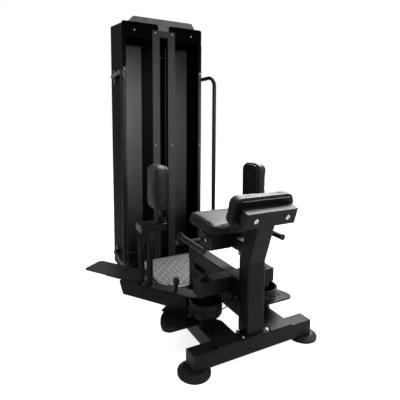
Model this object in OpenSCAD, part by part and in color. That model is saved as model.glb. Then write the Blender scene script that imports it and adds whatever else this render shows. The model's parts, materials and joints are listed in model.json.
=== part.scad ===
// Hip adductor and abductor machine: a seat between two swinging leg arms,
// with cables that run forward under the tread plate to a weight stack in a tower.
// +X is the seated user's right, +Y points from the seat to the tower, +Z is up.
// Millimetres. The origin is on the floor, in the middle of the whole machine.

/* [Frame tubes] */
// Width and height of the square floor and beam tubes
tube_w = 80; // [60:1:90]
// Wall of every frame tube
tube_wall = 4; // [2:0.5:6]
// Outer corner radius of the frame tubes
tube_r = 7; // [5:1:12]
// Height of the floor tubes' underside
floor_gap = 25; // [15:1:40]
// Length of the rear foot bar
rear_bar_len = 710; // [640:5:800]
// Diameter of the round rear feet
rear_foot_d = 160; // [110:5:180]
// Distance of each rear foot's centre from the middle
rear_foot_x = 336; // [290:1:350]
// Centre distance of the two floor rails from the middle
rail_x = 188; // [170:1:200]
// Distance from the rear bar's back to the tower's front
tower_y = 1168; // [1150:5:1300]

/* [Beams] */
// Underside of the lower beam
lower_beam_z = 165; // [150:1:185]
// Height of the lower beam
lower_beam_h = 85; // [60:1:90]
// Underside of the upper beam
upper_beam_z = 280; // [278:1:310]
// Distance from the rear bar's back to the front leg
front_leg_y = 585; // [560:5:620]
// Half length of the pivot crossbeam
crossbeam_half = 230; // [225:1:260]

/* [Seat post] */
// Width of the seat post
post_w = 106; // [90:1:120]
// Depth of the seat post
post_d = 77; // [60:1:90]
// Distance from the rear bar's back to the post's back
post_y = 15; // [5:1:20]
// Height at which the post starts to lean back
lean_z = 480; // [440:5:500]
// Lean of the upper post
lean_angle = 18; // [10:1:24]
// Underside of the seat branch
branch_z = 510; // [508:1:530]
// Height of the seat branch
branch_h = 62; // [45:1:65]
// Width of the seat branch
branch_w = 76; // [60:1:90]

/* [Seat] */
// Width of the seat cushion
seat_w = 332; // [320:2:370]
// Length of the seat cushion
seat_l = 280; // [260:2:330]
// Thickness of the seat cushion at its edge
seat_t = 50; // [40:1:70]
// Distance from the rear bar's back to the seat's back edge
seat_y = 164; // [150:1:190]
// Tilt that raises the seat's front
seat_tilt = 3.8; // [0:0.2:8]
// Width of the steel seat box
seat_box_w = 316; // [280:2:320]
// Length of the steel seat box
seat_box_l = 120; // [100:5:160]
// Height of the steel seat box at its back
seat_box_h = 70; // [64:1:80]
// Thickness of the cushion boards
board_t = 12; // [9:1:18]
// Thickness of sheet steel boxes
sheet_t = 3; // [2:0.5:4]

/* [Back rest] */
// Width of the steel lumbar box
lumbar_w = 294; // [240:2:320]
// Height of the lumbar box
lumbar_h = 80; // [60:1:100]
// Depth of the lumbar box
lumbar_d = 56; // [50:1:80]
// How far the lumbar box stands behind the post
lumbar_back = 20; // [5:1:30]
// Width of the back cushion
back_w = 350; // [300:2:380]
// Height of the back cushion
back_h = 160; // [150:5:190]
// Thickness of the back cushion at its edge
back_t = 62; // [45:1:75]

/* [Handles] */
// Diameter of the hand grips
grip_d = 30; // [26:1:38]
// Length of the hand grips
grip_l = 250; // [200:5:280]
// Centre distance of each grip from the middle
grip_x = 249; // [235:1:270]
// Height of the grip's axis
grip_z = 547; // [540:1:560]

/* [Leg pivots] */
// Distance of each pivot axis from the middle
pivot_x = 183; // [180:1:200]
// Distance from the rear bar's back to the pivot axes
pivot_y = 202; // [195:1:210]
// Diameter of the pivot shafts
shaft_d = 30; // [20:1:36]
// Running clearance of the shafts in their bearings, on the radius
shaft_gap = 0.05; // [0.02:0.01:0.1]
// Radius of the drum's cup
drum_r = 88; // [70:1:90]
// Height of the drum's cup
drum_h = 80; // [60:1:80]
// Wall of the drum's cup
drum_wall = 8; // [7:0.5:10]
// Radius of the range selector plate
sector_r = 237; // [225:1:250]
// Thickness of the range selector plate
sector_t = 10; // [8:1:10]
// Radius of the selector's hole circle
hole_circle_r = 174; // [168:1:180]
// Diameter of the selector's holes
hole_d = 16.4; // [16.4:0.1:17]
// Angle from one selector hole to the next
hole_step = 6.5; // [6.3:0.1:7]
// Number of holes on the inner side of the resting one
holes_in = 0; // [0:1:4]
// Number of holes on the outer side of the resting one
holes_out = 6; // [4:1:6]

/* [Leg arms] */
// Outward angle of the arms at rest, from straight ahead
arm_open = 36.6; // [30:0.2:45]
// Width of the arm beam
arm_w = 80; // [70:1:86]
// Height of the arm beam
arm_h = 80; // [72:1:82]
// Distance of the arm beam's lower end edge from the pivot
arm_reach = 500; // [460:5:540]
// Width of each arm upright along the arm
upright_w = 30; // [24:1:36]
// Gap between the two arm uprights
upright_gap = 26; // [16:1:28]
// Distance of the uprights' middle from the pivot
upright_r = 372; // [366:1:374]
// Height of the pad tube's underside
pad_tube_z = 569; // [560:1:580]
// Height of the pad tube
pad_tube_h = 40; // [30:1:45]
// Width of the pad tube
pad_tube_w = 95; // [70:1:100]
// Length of the pad tube
pad_tube_l = 145; // [130:1:150]
// Length of the foot plate past the beam's lower end edge
foot_reach = 322; // [280:2:326]
// Width of the foot plate
foot_w = 160; // [130:2:170]
// Thickness of the foot plate
foot_t = 5; // [3:0.5:8]

/* [Knee pads] */
// Width of the knee pads
pad_w = 162; // [120:2:164]
// Height of the knee pads
pad_h = 250; // [220:5:270]
// Thickness of the knee pad cushion at its edge
pad_t = 63; // [45:1:64]
// Height of the knee pads' lower end
pad_z = 686; // [686:1:700]
// How much lower the right knee pad is set on its spindle
right_pad_drop = 20; // [0:1:20]
// Diameter of the pad spindle
spindle_d = 25; // [18:1:28]

/* [Tower] */
// Width of the tower
tower_w = 652; // [600:2:700]
// Depth of the tower
tower_d = 310; // [290:5:340]
// Height of the tower's front panels
tower_h = 1909; // [1850:1:1960]
// Width of the side panels' front flange
flange_w = 28; // [20:1:40]
// Half width of the middle column
column_half = 92; // [90:1:110]
// Half width of the slot in the column's front
slot_half = 34; // [30:1:38]
// Height of the front header panels
header_h = 112; // [80:1:130]
// Depth of the notch between the header panels
notch_d = 44; // [40:1:76]
// Height of the strips on the side panels' front flanges
strip_top = 1583; // [1400:1:1700]
// Half width of the grey top cap at its foot
cap_half = 272; // [240:1:300]
// Rise of the grey top cap over the header panels
cap_rise = 42; // [25:1:60]
// Diameter of the side guard rails
rail_d = 30; // [16:1:32]
// How far the guard rails stand out from the tower's sides
guard_out = 39; // [36:1:60]
// How far the guard rails stand in front of the tower
guard_front = 138; // [110:1:140]
// Height of the guard rails' upper end
guard_top = 1532; // [1300:2:1600]
// Height of the guard rails' lower end
guard_low = 140; // [120:5:400]

/* [Weight stack] */
// Number of weight plates that stay down
plates_down = 12; // [8:1:12]
// Number of weight plates that the pin lifts
plates_up = 4; // [2:1:6]
// Thickness of one weight plate
plate_t = 25; // [20:1:26]
// Width of the weight plates
plate_w = 164; // [150:1:170]
// Depth of the weight plates
plate_d = 110; // [90:1:120]
// Diameter of the guide rods
guide_d = 20; // [16:1:25]
// Distance of each guide rod from the middle
guide_x = 62; // [56:1:64]

/* [Cables and pulleys] */
// Diameter of the cables
cable_d = 5; // [4:0.5:6]
// Distance of each cable from the middle plane in the beams and the tower
cable_x = 10; // [9:0.5:11]
// Groove radius of the guide pulleys between the beams
guide_r = 28; // [24:1:30]
// Groove radius of the pulleys in the front leg
leg_r = 25; // [22:1:26]
// Groove radius of the tower's lower pulleys
tower_lower_r = 48; // [46:1:50]
// Groove radius of the tower's upper pulleys
tower_pulley_r = 58; // [50:1:60]

/* [Hidden] */
$fn = 48;

// Colours as the photograph shows them
steel_black = [0.10, 0.10, 0.11];
gloss_black = [0.06, 0.06, 0.07];
vinyl_black = [0.17, 0.17, 0.18];
rubber_black = [0.07, 0.07, 0.07];
bolt_silver = [0.72, 0.72, 0.74];
tread_silver = [0.62, 0.63, 0.65];
cap_grey = [0.45, 0.46, 0.48];
plate_grey = [0.20, 0.20, 0.21];

// Small clearances
touch_gap = 0.3;
running_gap = 1.5;

// Heights of the floor tubes and of what stands on them
floor_top = floor_gap + tube_w;
base_plate_t = 8;
base_plate_top = floor_top + base_plate_t;
upper_beam_top = upper_beam_z + tube_w;
lower_beam_top = lower_beam_z + lower_beam_h;

// Distances from the rear bar's back edge
post_front = post_y + post_d;
front_leg_end = front_leg_y + tube_w;
tower_back = tower_y + tower_d;
lumbar_from = 225;
lumbar_top = lumbar_from + lumbar_h;
rear_most = post_y - lumbar_back * cos(lean_angle) - lumbar_top * sin(lean_angle);
y_shift = -(rear_most + tower_back) / 2;

// The drum, the selector plate and the arm lie on the pivot shaft in this order
bearing_t = 12;
bearing_d = 100;
sector_z = base_plate_top + bearing_t + running_gap;
sector_top = sector_z + sector_t;
arm_z = 174;
arm_top = arm_z + arm_h;
lug_t = 8;
lug_d = 84;
lower_lug_z = sector_top + running_gap;
drum_z = lower_lug_z + lug_t + 25.5;
drum_top = drum_z + drum_h;
upper_lug_z = arm_top - 1;
upper_lug_top = upper_lug_z + lug_t;
arm_start = drum_r + 7;
cable_z = drum_z + 40;
gap_z = (lower_beam_top + upper_beam_z) / 2;
shaft_top = upper_beam_top + 14;

module on_floor() {
    translate([0, y_shift, 0]) children();
}

module both_sides() {
    children();
    mirror([1, 0, 0]) children();
}

module on_side(side) {
    mirror([side < 0 ? 1 : 0, 0, 0]) children();
}

module at_pivot(side) {
    on_floor() on_side(side) translate([pivot_x, pivot_y, 0]) children();
}

// Along the arm +Y points away from the pivot and +X to the arm's outer side
module along_arm(side) {
    at_pivot(side) rotate([0, 0, -arm_open]) children();
}

// The leaning frame of the upper post: +Z runs up the post and +Y out of its front
module leaning() {
    on_floor() translate([0, post_y, lean_z]) rotate([lean_angle, 0, 0]) children();
}

module rounded_square(w, h, r) {
    square([w - 2 * r, h], center = true);
    square([w, h - 2 * r], center = true);
    for (sx = [-1, 1], sy = [-1, 1])
        translate([sx * (w / 2 - r), sy * (h / 2 - r)]) circle(r);
}

module tube_profile(w, h, wall = tube_wall, r = tube_r) {
    difference() {
        rounded_square(w, h, r);
        rounded_square(w - 2 * wall, h - 2 * wall, max(r - wall, 1));
    }
}

module tube_x(len, d, h) {
    rotate([90, 0, 90]) linear_extrude(len) tube_profile(d, h);
}

module tube_y(len, w, h) {
    rotate([-90, 0, 0]) linear_extrude(len) tube_profile(w, h);
}

module tube_z(len, w, d) {
    linear_extrude(len) tube_profile(w, d);
}

module plate(w, d, t, r) {
    linear_extrude(t) rounded_square(w, d, r);
}

// A hexagon head with its washer, standing on the plane z = 0
module bolt_head(d = 17, h = 8) {
    cylinder(d = d * 1.3, h = 2);
    translate([0, 0, 2]) cylinder(d = d, h = h, $fn = 6);
}

// A round button head with a socket
module button_head(d = 22, h = 8) {
    difference() {
        union() {
            cylinder(d = d, h = h * 0.6);
            translate([0, 0, h * 0.6]) cylinder(d1 = d, d2 = d * 0.6, h = h * 0.4);
        }
        translate([0, 0, h * 0.45]) cylinder(d = d * 0.36, h = h, $fn = 6);
    }
}

// A round rod from point p to point q
module rod_between(p, q, d) {
    v = q - p;
    len = norm(v);
    turn = atan2(v[1], v[0]);
    fall = acos(v[2] / len);
    translate(p) rotate([0, fall, turn]) cylinder(d = d, h = len);
}

// A pulley on the Z axis, centred on z = 0: the cable lies at radius r in its flared groove
module pulley(r, w, bore) {
    half = cable_d / 2 + touch_gap;
    rim = r + cable_d * 0.8;
    rotate_extrude() polygon([
        [bore / 2, -w / 2],
        [rim, -w / 2],
        [rim, 1.5 - w / 2],
        [r, -half],
        [r - half, -half * 0.6],
        [r - half, half * 0.6],
        [r, half],
        [rim, w / 2 - 1.5],
        [rim, w / 2],
        [bore / 2, w / 2]
    ]);
}

// Rings of a cushion's outline: a rounded rectangle whose sides draw in between the corners
corner_steps = 6;
side_steps = 5;

function side_draw(s, draw) = draw * sin(180 * s);

function cushion_corner(w, l, r, q, k) =
    let (sx = (q == 0 || q == 3) ? 1 : -1)
    let (sy = (q == 0 || q == 1) ? 1 : -1)
    let (a = 90 * q + 90 * k / corner_steps)
    [sx * (w / 2 - r) + r * cos(a), sy * (l / 2 - r) + r * sin(a)];

function cushion_side(w, l, r, q, k, draw) =
    let (s = k / side_steps)
    let (a = cushion_corner(w, l, r, q, corner_steps))
    let (b = cushion_corner(w, l, r, (q + 1) % 4, 0))
    let (inward = -[cos(90 * (q + 1)), sin(90 * (q + 1))])
    a + (b - a) * s + inward * side_draw(s, draw);

function cushion_ring(w, l, r, draw) = [
    for (q = [0:3]) each concat(
        [for (k = [0:corner_steps]) cushion_corner(w, l, r, q, k)],
        [for (k = [1:side_steps - 1]) cushion_side(w, l, r, q, k, draw)]
    )
];

// A cushion on the plane z = 0: a flat back, soft edges, drawn-in sides and a crown
module cushion(w, l, t, r, crown, draw) {
    edge = min(16, t * 0.3);
    n = 4 * (corner_steps + side_steps);
    wall_rings = [
        [0, 3], [t * 0.12, 0.5], [t * 0.4, 0], [t - edge, 1],
        [t - edge * 0.55, edge * 0.2], [t - edge * 0.2, edge * 0.55], [t, edge]
    ];
    crown_steps = 5;
    walls = [
        for (ring = wall_rings)
            let (inset = ring[1])
            [for (p = cushion_ring(w - 2 * inset, l - 2 * inset, max(r - inset, 2), draw))
                [p[0], p[1], ring[0]]]
    ];
    rim = walls[len(walls) - 1];
    crowns = [
        for (i = [1:crown_steps - 1])
            let (f = i / crown_steps)
            [for (p = rim) [p[0] * (1 - f), p[1] * (1 - f), t + crown * (1 - (1 - f) * (1 - f))]]
    ];
    rings = concat(walls, crowns);
    points = concat([for (ring = rings) each ring], [[0, 0, 0], [0, 0, t + crown]]);
    last = len(rings) - 1;
    bottom = len(points) - 2;
    top = len(points) - 1;
    faces = concat(
        [for (j = [0:last - 1], i = [0:n - 1])
            let (k = (i + 1) % n)
            [j * n + i, (j + 1) * n + i, (j + 1) * n + k]],
        [for (j = [0:last - 1], i = [0:n - 1])
            let (k = (i + 1) % n)
            [j * n + i, (j + 1) * n + k, j * n + k]],
        [for (i = [0:n - 1]) [bottom, i, (i + 1) % n]],
        [for (i = [0:n - 1]) [last * n + i, top, last * n + (i + 1) % n]]
    );
    polyhedron(points, faces);
}

// Floor frame

module rear_foot_bar() {
    color(steel_black) on_floor()
        translate([-rear_bar_len / 2, tube_w / 2, floor_gap + tube_w / 2])
            tube_x(rear_bar_len, tube_w, tube_w);
}

cap_t = 4;

module tube_cap(w, h) {
    rotate([90, 0, 90]) linear_extrude(cap_t) rounded_square(w, h, tube_r);
}

module tube_caps() {
    color(rubber_black) on_floor() {
        both_sides() translate([rear_bar_len / 2, tube_w / 2, floor_gap + tube_w / 2])
            tube_cap(tube_w, tube_w);
        both_sides() translate([crossbeam_half, pivot_y, upper_beam_z + tube_w / 2])
            tube_cap(tube_w + 5, tube_w);
        translate([0, front_leg_end, upper_beam_z + tube_w / 2])
            rotate([0, 0, 90]) tube_cap(tube_w + 2, tube_w);
    }
}

tower_tube = 60;
tower_foot_d = 70;

module rubber_feet() {
    color(rubber_black) on_floor() both_sides() {
        translate([rear_foot_x, tube_w / 2, 0]) {
            cylinder(d = rear_foot_d, h = floor_gap * 0.45);
            translate([0, 0, floor_gap * 0.45])
                cylinder(d1 = rear_foot_d, d2 = rear_foot_d * 0.7, h = floor_gap * 0.55);
        }
        for (y = [tower_y + tower_tube / 2 + 4, tower_back - tower_tube / 2 - 4])
            translate([tower_w / 2 - 60, y, 0]) cylinder(d = tower_foot_d, h = floor_gap);
    }
}

module floor_rails() {
    color(steel_black) on_floor() both_sides()
        translate([rail_x, tube_w, floor_gap + tube_w / 2])
            tube_y(tower_y - tube_w, tube_w, tube_w);
}

crossbar_half = rail_x - tube_w / 2;
cable_window = 2 * cable_x + 24;

module front_crossbar() {
    color(steel_black) on_floor() difference() {
        translate([-crossbar_half, front_leg_y + tube_w / 2, floor_gap + tube_w / 2])
            tube_x(2 * crossbar_half, tube_w, tube_w);
        translate([-cable_window / 2, front_leg_y + tube_w / 2 - 12, floor_gap + tube_wall])
            cube([cable_window, tube_w, tube_w]);
    }
}

module front_leg() {
    leg_h = upper_beam_z - floor_top;
    color(steel_black) on_floor() difference() {
        translate([0, front_leg_y + tube_w / 2, floor_top]) tube_z(leg_h, tube_w + 2, tube_w);
        translate([-cable_window / 2, front_leg_y - 1, lower_beam_top + 1])
            cube([cable_window, tube_w / 2, leg_h]);
    }
}

module lower_beam() {
    color(steel_black) on_floor()
        translate([0, post_front, lower_beam_z + lower_beam_h / 2])
            tube_y(front_leg_y - post_front, tube_w, lower_beam_h);
}

module upper_beam() {
    color(steel_black) on_floor()
        translate([0, post_front, upper_beam_z + tube_w / 2])
            tube_y(front_leg_end - post_front, tube_w + 2, tube_w);
}

module pivot_crossbeams() {
    start = (tube_w + 2) / 2;
    color(steel_black) on_floor() both_sides() difference() {
        translate([start, pivot_y, upper_beam_z + tube_w / 2])
            tube_x(crossbeam_half - start, tube_w + 5, tube_w);
        translate([pivot_x, pivot_y, upper_beam_z - 1]) cylinder(r = shaft_d / 2 + 1, h = tube_w + 2);
    }
}

// The plates under the pivots lie on the rear bar and the rails
pivot_plate_in = 88;
pivot_plate_chamfer = 48;

post_plate_half = 84;

module base_plates() {
    out_x = rail_x + tube_w / 2 + 2;
    back_y = 2;
    end_y = pivot_y + 64;
    color(steel_black) on_floor() {
        both_sides() translate([0, 0, floor_top]) linear_extrude(base_plate_t) polygon([
            [pivot_plate_in, back_y],
            [out_x, back_y],
            [out_x, end_y],
            [pivot_plate_in + pivot_plate_chamfer, end_y],
            [pivot_plate_in, end_y - pivot_plate_chamfer * 1.6]
        ]);
        translate([0, tube_w / 2, floor_top]) plate(2 * post_plate_half, tube_w - 6, base_plate_t, 14);
    }
}

module pivot_bearings() {
    bore = shaft_d + 2 * shaft_gap;
    color(steel_black) on_floor() both_sides() translate([pivot_x, pivot_y, 0]) {
        translate([0, 0, base_plate_top]) difference() {
            cylinder(d = bearing_d, h = bearing_t);
            translate([0, 0, -1]) cylinder(d = bore, h = bearing_t + 2);
        }
        translate([0, 0, upper_beam_top]) difference() {
            cylinder(d = shaft_d + 24, h = 8);
            translate([0, 0, -1]) cylinder(d = bore, h = 10);
        }
    }
}

// Seat post and what it carries

mitre = lean_angle / 2;
post_mid_y = post_y + post_d / 2;
big = 600;

module seat_post() {
    color(steel_black) on_floor() difference() {
        translate([0, post_mid_y, base_plate_top]) tube_z(lean_z - base_plate_top + 40, post_w, post_d);
        translate([0, post_y, lean_z]) rotate([mitre, 0, 0])
            translate([-big / 2, -big / 2, 0]) cube([big, big, big]);
    }
}

module leaning_post() {
    color(steel_black) difference() {
        leaning() translate([0, post_d / 2, -40]) tube_z(lumbar_from + 40, post_w, post_d);
        leaning() translate([-big / 2, lumbar_front, back_from - 4]) cube([big, big, big]);
        on_floor() translate([0, post_y, lean_z]) rotate([mitre, 0, 0])
            translate([-big / 2, -big / 2, -big]) cube([big, big, big]);
    }
}

// The branch leaves the leaning post's front face, which slants, so it is cut to that face
branch_end = seat_y + seat_l - 60;

module seat_branch() {
    color(steel_black) difference() {
        on_floor() translate([0, post_mid_y, branch_z + branch_h / 2])
            tube_y(branch_end - post_mid_y, branch_w, branch_h);
        leaning() translate([-big / 2, post_d - big, -big / 2]) cube([big, big, big]);
        on_floor() translate([-big / 2, post_front - big, branch_z - big]) cube([big, big, big]);
    }
}

seat_box_y = seat_y + 22;
seat_box_top = branch_z + seat_box_h;

module seat_side_profile(inset) {
    rise = (seat_box_l - 2 * inset) * tan(seat_tilt);
    start = inset * tan(seat_tilt);
    polygon([
        [inset, -(inset > 0 ? 1 : 0)],
        [seat_box_l - inset, -(inset > 0 ? 1 : 0)],
        [seat_box_l - inset, seat_box_h - inset + start + rise],
        [inset, seat_box_h - inset + start]
    ]);
}

module seat_box() {
    color(steel_black) on_floor() difference() {
        translate([-seat_box_w / 2, seat_box_y, branch_z])
            rotate([90, 0, 90]) linear_extrude(seat_box_w) seat_side_profile(0);
        translate([-seat_box_w / 2 + sheet_t, seat_box_y, branch_z])
            rotate([90, 0, 90]) linear_extrude(seat_box_w - 2 * sheet_t) seat_side_profile(sheet_t);
        translate([-branch_w / 2, seat_box_y - 1, branch_z - 1])
            cube([branch_w, seat_box_l + 2, branch_h + 1]);
    }
}

// The seat's tilted frame starts at the back top edge of the seat box
module on_seat_box() {
    on_floor() translate([0, seat_box_y, seat_box_top]) rotate([seat_tilt, 0, 0]) children();
}

module seat_cushion() {
    color(vinyl_black) on_seat_box()
        translate([0, seat_l / 2 - 22, board_t + touch_gap]) cushion(seat_w, seat_l, seat_t, 30, 5, 3);
}

module lumbar_box() {
    color(steel_black) leaning() difference() {
        translate([-lumbar_w / 2, -lumbar_back, lumbar_from]) cube([lumbar_w, lumbar_d, lumbar_h]);
        translate([-lumbar_w / 2 + sheet_t, -lumbar_back + sheet_t, lumbar_from + sheet_t])
            cube([lumbar_w - 2 * sheet_t, lumbar_d, lumbar_h - 2 * sheet_t]);
    }
}

lumbar_front = lumbar_d - lumbar_back;
back_from = 186;

module back_cushion() {
    color(vinyl_black) leaning()
        translate([0, lumbar_front + board_t + touch_gap, back_from + back_h / 2])
            rotate([-90, 0, 0]) cushion(back_w, back_h, back_t, 42, 8, 3);
}

module cushion_boards() {
    color(rubber_black) {
        on_seat_box() translate([0, seat_l / 2 - 22, 0]) plate(seat_w - 24, seat_l - 24, board_t, 22);
        leaning() translate([0, lumbar_front, back_from + back_h / 2])
            rotate([-90, 0, 0]) plate(back_w - 20, back_h - 20, board_t, 34);
    }
}

handle_y = seat_y + 196;
handle_bar_t = 8;
handle_bar_w = 40;

module handle_bar() {
    color(steel_black) on_floor() {
        translate([-grip_x - 18, handle_y, branch_z - handle_bar_t])
            cube([2 * grip_x + 36, handle_bar_w, handle_bar_t]);
        both_sides() translate([grip_x - 18, handle_y, branch_z])
            cube([36, handle_bar_t, grip_z + grip_d / 2 + 3 - branch_z]);
    }
}

module hand_grips() {
    color(rubber_black) on_floor() both_sides()
        translate([grip_x, handle_y, grip_z]) rotate([90, 0, 0]) {
            cylinder(d = grip_d - 6, h = grip_l);
            translate([0, 0, 10]) cylinder(d = grip_d, h = grip_l - 20);
            translate([0, 0, grip_l - 8]) cylinder(d = grip_d + 4, h = 8);
        }
}

// Tread plate and tower

tread_t = 3;
tread_half = 218;
tread_y = front_leg_end + 1;

module tread_plate() {
    color(tread_silver) on_floor()
        translate([0, (tread_y + tower_y - 4) / 2, floor_top])
            plate(2 * tread_half, tower_y - 4 - tread_y, tread_t, 18);
}

tower_half = tower_w / 2;
inner_half = tower_half - sheet_t;
base_z = floor_gap + tower_tube / 2;

module tower_base() {
    rear_y = tower_back - tower_tube - sheet_t;
    front_y = tower_y + 4;
    color(steel_black) on_floor() {
        translate([-inner_half + 1, rear_y + tower_tube / 2, base_z])
            tube_x(2 * inner_half - 2, tower_tube, tower_tube);
        difference() {
            translate([-inner_half + 1, front_y + tower_tube / 2, base_z])
                tube_x(2 * inner_half - 2, tower_tube, tower_tube);
            translate([-cable_window / 2, tower_y, run_z - 12]) cube([cable_window, 2 * tower_tube, 24]);
        }
        both_sides() translate([inner_half - 60, front_y + tower_tube, base_z])
            tube_y(rear_y - front_y - tower_tube, tower_tube, tower_tube);
        difference() {
            translate([-inner_half + 1, tower_y + 4, floor_gap + tower_tube])
                cube([2 * inner_half - 2, tower_d - 54 - sheet_t, 5]);
            translate([-cable_window / 2, tower_lower_c[0] - tower_lower_r - 8, floor_gap + tower_tube - 1])
                cube([cable_window, 2 * tower_lower_r + 16, 7]);
        }
    }
}

side_top_front = tower_h - 16;
side_top_back = tower_h + 28;

module tower_side_panels() {
    color(steel_black) on_floor() both_sides() {
        translate([inner_half, tower_y, 0]) rotate([90, 0, 90]) linear_extrude(sheet_t) polygon([
            [0, floor_gap + 5],
            [tower_d, floor_gap + 5],
            [tower_d, side_top_back],
            [2 * sheet_t, side_top_front],
            [2 * sheet_t, tower_h - header_h],
            [0, tower_h - header_h]
        ]);
        translate([inner_half - flange_w + sheet_t, tower_y, floor_gap + 5])
            cube([flange_w, sheet_t, tower_h - header_h - floor_gap - 5]);
    }
}

back_panel_y = tower_back - 52;

module tower_back_panel() {
    color(gloss_black) on_floor()
        translate([-inner_half, back_panel_y, floor_gap + tower_tube + 6])
            cube([2 * inner_half, 2, side_top_front - floor_gap - tower_tube - 10]);
}

column_foot = floor_gap + tower_tube + 5;
column_top = tower_h - header_h - 4;
notch_z = tower_h - notch_d;
strip_t = 3;
cross_h = 46;

// A cross piece closes the slot between the middle channels at the top; a strip covers each side
// panel's flange
module tower_columns() {
    column_h = column_top - column_foot;
    color(steel_black) on_floor() {
        both_sides() translate([0, 0, column_foot]) {
            translate([column_half - sheet_t, tower_y, 0])
                cube([sheet_t, back_panel_y - tower_y, column_h]);
            translate([slot_half, tower_y, 0])
                cube([column_half - slot_half, sheet_t, notch_z - column_foot]);
            translate([slot_half, tower_y, 0]) cube([sheet_t, 25, column_h]);
        }
        translate([touch_gap - slot_half, tower_y, notch_z - cross_h])
            cube([2 * slot_half - 2 * touch_gap, sheet_t, cross_h]);
        both_sides() translate([tower_half - flange_w + 1, tower_y - strip_t, floor_gap + 8])
            cube([flange_w - 3, strip_t, strip_top - floor_gap - 8]);
    }
}

header_in = 44;

module tower_headers() {
    header_w = tower_half - header_in;
    color(steel_black) on_floor() {
        both_sides() translate([header_in + header_w / 2, tower_y + 2 * sheet_t, tower_h - header_h / 2])
            rotate([90, 0, 0]) plate(header_w, header_h, sheet_t, 16);
        translate([-header_in - 20, tower_y + sheet_t, tower_h - header_h])
            cube([2 * header_in + 40, sheet_t, header_h - notch_d]);
        translate([-inner_half, tower_y + 2 * sheet_t - 1, tower_h - header_h])
            cube([2 * inner_half, 240, 4]);
    }
}

cap_sink = 90;

module cap_outline(inset) {
    half = cap_half - inset;
    polygon([
        [-half, 0],
        [half, 0],
        [half, cap_sink - 8],
        [half - 34, cap_rise + cap_sink - inset],
        [-half + 34, cap_rise + cap_sink - inset],
        [-half, cap_sink - 8]
    ]);
}

// The moulded cap is open underneath
module tower_top_cap() {
    cap_d = back_panel_y - tower_y - 2 * sheet_t - touch_gap;
    color(cap_grey) on_floor() translate([0, tower_y + 2 * sheet_t, tower_h - cap_sink]) difference() {
        translate([0, cap_d, 0]) rotate([90, 0, 0]) linear_extrude(cap_d) cap_outline(0);
        translate([0, cap_d - sheet_t, -2]) rotate([90, 0, 0])
            linear_extrude(cap_d - 2 * sheet_t) cap_outline(sheet_t);
    }
}

// Guard rails leave the tower's sides, run forward, bend down in front and come back near the floor
guard_bend = 75;
guard_turn = 20;
guard_back = tower_y + 210;
guard_plate_t = 5;
guard_plate_h = 110;
guard_reach = guard_back - tower_y + guard_front;
guard_slant = atan((guard_out - guard_turn - 2) / guard_reach);

module guard_bend_at(y, z, start) {
    translate([0, y, z]) rotate([start, 0, 0]) rotate([0, 90, 0])
        rotate_extrude(angle = 90) translate([guard_bend, 0]) circle(d = rail_d);
}

module guard_end(z) {
    translate([0, guard_bend - guard_reach, z]) rotate([-90, 0, 0])
        cylinder(d = rail_d, h = guard_reach - guard_bend - guard_turn);
    translate([-guard_turn, -guard_turn, z])
        rotate_extrude(angle = 90) translate([guard_turn, 0]) circle(d = rail_d);
}

// The rails lie in upright planes that spread a little towards the front
module side_guard_rails() {
    low = guard_low + guard_bend;
    high = guard_top - guard_bend;
    color(steel_black) on_floor() both_sides() {
        translate([tower_half + guard_turn + 2, guard_back, 0]) rotate([0, 0, guard_slant]) {
            translate([0, -guard_reach, low]) cylinder(d = rail_d, h = high - low);
            guard_bend_at(guard_bend - guard_reach, high, 180);
            guard_bend_at(guard_bend - guard_reach, low, 270);
            guard_end(guard_low);
            guard_end(guard_top);
        }
        for (z = [guard_low, guard_top]) translate([tower_half, guard_back, z]) rotate([0, 90, 0])
            plate(guard_plate_h, 42, guard_plate_t, 12);
    }
}

// Weight stack

bumper_h = 64;
stack_y = tower_y + 110;
stack_z = column_foot + bumper_h;
plate_pitch = plate_t;
plate_lip = 1;

lift_z = stack_z + plates_down * plate_pitch;
head_z = lift_z + plates_up * plate_pitch;
head_h = 40;
stem_d = 22;
pin_d = 9;
guide_top = column_top - 2;

// Raised rings round the guide rods keep the plates a little apart
module stack_plate(t) {
    difference() {
        union() {
            plate(plate_w, plate_d, t - plate_lip, 6);
            for (sx = [-1, 1]) translate([sx * guide_x, 0, 0]) cylinder(d = guide_d + 14, h = t);
        }
        for (sx = [-1, 1]) translate([sx * guide_x, 0, -1]) cylinder(d = guide_d + 3, h = t + 2);
        translate([0, 0, -1]) cylinder(d = stem_d + 3, h = t + 2);
    }
}

module pin_hole_cut(t) {
    translate([0, 0, t / 2]) rotate([90, 0, 0]) cylinder(d = pin_d + 2, h = plate_d);
}

module weight_plates() {
    color(plate_grey) on_floor() for (i = [0:plates_down - 1])
        translate([0, stack_y, stack_z + i * plate_pitch]) difference() {
            stack_plate(plate_t);
            pin_hole_cut(plate_t);
        }
}

module lifted_plates() {
    color(plate_grey) on_floor() {
        for (i = [0:plates_up - 1]) translate([0, stack_y, lift_z + i * plate_pitch]) difference() {
            stack_plate(plate_t);
            pin_hole_cut(plate_t);
        }
        translate([0, stack_y, head_z]) difference() {
            plate(plate_w, plate_d, head_h, 6);
            for (sx = [-1, 1]) translate([sx * guide_x, 0, -1])
                cylinder(d = guide_d + 2 * running_gap, h = head_h + 2);
            translate([0, 0, -1]) cylinder(d = stem_d, h = head_h - 9);
        }
    }
}

module selector_stem() {
    stem_low = stack_z + 8;
    color(bolt_silver) on_floor() {
        translate([0, stack_y, 0]) difference() {
            translate([0, 0, stem_low]) cylinder(d = stem_d, h = head_z + head_h - 10 - stem_low);
            for (i = [0:plates_down + plates_up - 1])
                translate([0, 20, stack_z + i * plate_pitch + plate_t / 2])
                    rotate([90, 0, 0]) cylinder(d = pin_d + 1, h = 40);
        }
        for (sx = [-1, 1]) translate([sx * cable_x, stack_y, head_z + head_h]) cylinder(d = 14, h = 26);
    }
}

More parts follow.
